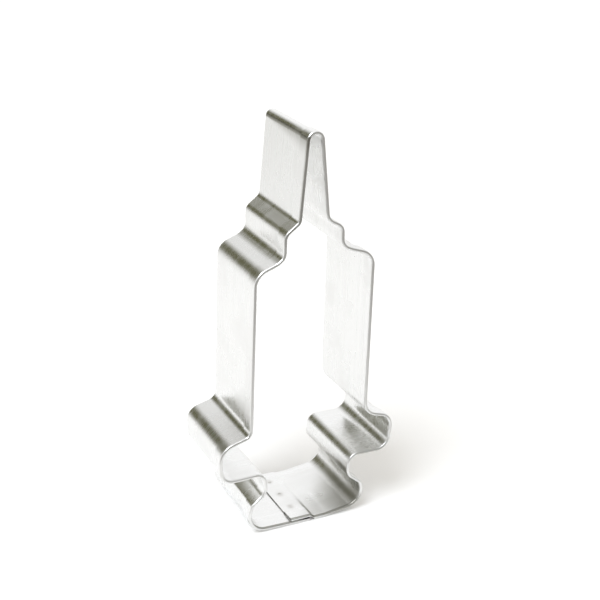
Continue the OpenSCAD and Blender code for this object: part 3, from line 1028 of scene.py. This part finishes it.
# %% [markdown]
# Now the tree runs on the route. Its result becomes a plain mesh, and Solidify gives it the sheet's
# thickness evenly, with the cut steel on the rim. Sharp edges are marked by angle, so that the cut stays
# crisp and the bends stay smooth. Then the piece is told which body carries it, and the imported strip
# is hidden.

# %% Make the strip
SHARP_FROM = math.radians(40)


def baked(obj, name):
    """The object's finished shape as a plain mesh at the origin, in place of the object."""
    evaluated = obj.evaluated_get(bpy.context.evaluated_depsgraph_get())
    mesh = bpy.data.meshes.new_from_object(evaluated)
    mesh.name = name
    piece = bpy.data.objects.new(name, mesh)
    bpy.context.scene.collection.objects.link(piece)
    bpy.data.objects.remove(obj)
    return piece


run_tree(route_line, bend_the_strip, {"Section": section, "Material": tinplate})
sheet = baked(route_line, "bent_sheet")
sheet.data.materials.append(cut_steel)
thickness = sheet.modifiers.new("sheet_thickness", "SOLIDIFY")
thickness.thickness = SHEET
thickness.offset = 0
thickness.use_even_offset = True
thickness.material_offset_rim = 1
strip = baked(sheet, "tinplate_strip")
bpy.data.objects.remove(section)
strip.data.set_sharp_from_angle(angle=SHARP_FROM)
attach(strip, "root")
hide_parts("cutter_strip")
print("strip:", len(strip.data.polygons), "faces, size in mm:", [round(v / mm, 2) for v in strip.dimensions])

# %% [markdown]
# Three spot welds hold the lap. Each is a nugget of metal through both sheets, and all that shows is a
# small dull disc in a shallow dimple, on the inside and on the outside. Geometry Nodes set one disc shape
# at each point of a short row, since the three are alike.

# %% Tree that sets the welds
DISC_INPUTS = (
    ("Radius", "Float", 0.62 * mm), ("Half height", "Float", SHEET + PLAY / 2),
    ("Proud", "Float", 0.008 * mm),
)
DISC_SHAPE = {"Vertices": 28, "Side Segments": 1, "Fill Segments": 8, "Depth": 0.2 * mm}
RIM_FROM_TO = (0.7, 1.0)
RIM_DROP = 2.0


def weld_tree():
    """Shapes one disc to fit the dimples on both sides of the lap, and sets it at each weld's place."""
    tree, given = tree_with_inputs("set_the_welds", DISC_INPUTS + WELD_INPUTS)
    inputs = {"Radius": given["Radius"], **DISC_SHAPE}
    disc = add_node(tree, "GeometryNodeMeshCylinder", inputs, fill_type="TRIANGLE_FAN").outputs[0]
    axes = split_axes(tree, add_node(tree, "GeometryNodeInputPosition").outputs[0])
    squares = calc(tree, "ADD", product(tree, axes["X"], axes["X"]), product(tree, axes["Y"], axes["Y"]))
    radius = calc(tree, "POWER", squares, 0.5)
    share = calc(tree, "DIVIDE", radius, given["Radius"])
    disc = keep_as(tree, disc, "from_middle", share)
    dimple = product(tree, ramp(tree, radius, given["Dimple reach"], 0.0), given["Dimple depth"])
    crown = product(tree, ramp(tree, share, *RIM_FROM_TO, 1.0, -RIM_DROP), given["Proud"])
    level = calc(tree, "ADD", calc(tree, "SUBTRACT", given["Half height"], dimple), crown)
    height = product(tree, level, calc(tree, "SIGN", axes["Z"]))
    place = join_axes(tree, X=axes["X"], Y=axes["Y"], Z=height)
    disc = add_node(tree, "GeometryNodeSetPosition", {"Geometry": disc, "Position": place}).outputs[0]
    inputs = {"Points": weld_points(tree, given), "Instance": disc}
    welds = add_node(tree, "GeometryNodeInstanceOnPoints", inputs).outputs[0]
    end_tree(tree, welds, given["Material"])
    return tree


set_the_welds = weld_tree()
print("nodes in the tree:", len(set_the_welds.nodes))

# %% [markdown]
# Weld metal has melted and set again under the electrode. It is dull and grainy in the middle, with a
# darker ring where the tin has burnt off. The distance from each disc's middle was kept as an attribute,
# so one material serves all three.

# %% Weld metal
WELD_GREY = (0.62, 0.61, 0.58, 1)
WELD_RING = (0.42, 0.4, 0.36, 1)
# The ring's two edges, as shares of the disc's radius
RING_INSIDE = (0.55, 0.8)
RING_OUTSIDE = (1.0, 0.85)
WELD_ROUGHNESS = 0.38
WELD_BUMP = 0.006 * mm


def weld_material():
    """Dull grainy metal with a darker ring."""
    material, tree = new_material("weld_metal")
    solid = add_node(tree, "ShaderNodeTexCoord").outputs["Object"]
    share = add_node(tree, "ShaderNodeAttribute", attribute_name="from_middle").outputs["Fac"]
    marks = use_group(tree, handled, {
        "Vector": solid, "Smudge size": 1.2 * mm, "Grain size": 0.15 * mm, "Seed": 2.0})
    ring = product(tree, ramp(tree, share, *RING_INSIDE), ramp(tree, share, *RING_OUTSIDE))
    colour = blend(tree, weighted(tree, (ring, 0.7), (marks["Smudges"], 0.3)), WELD_GREY, WELD_RING)
    rough = weighted(tree, (marks["Grain"], 0.15), (ring, 0.1), (1.0, WELD_ROUGHNESS))
    metal_surface(tree, colour, rough, bump(tree, marks["Grain"], WELD_BUMP))
    return material


weld_metal = weld_material()
print("material:", weld_metal.name)

# %% [markdown]
# The tree needs no shape to start from, so it runs on an empty mesh. Its three discs become one plain
# piece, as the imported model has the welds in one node.

# %% Make the welds
row = mesh_object("weld_row", [], [], [])
run_tree(row, set_the_welds, {"Material": weld_metal})
welds = baked(row, "weld_discs")
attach(welds, "root")
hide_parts("spot_welds")
print("welds:", len(welds.data.polygons), "faces")
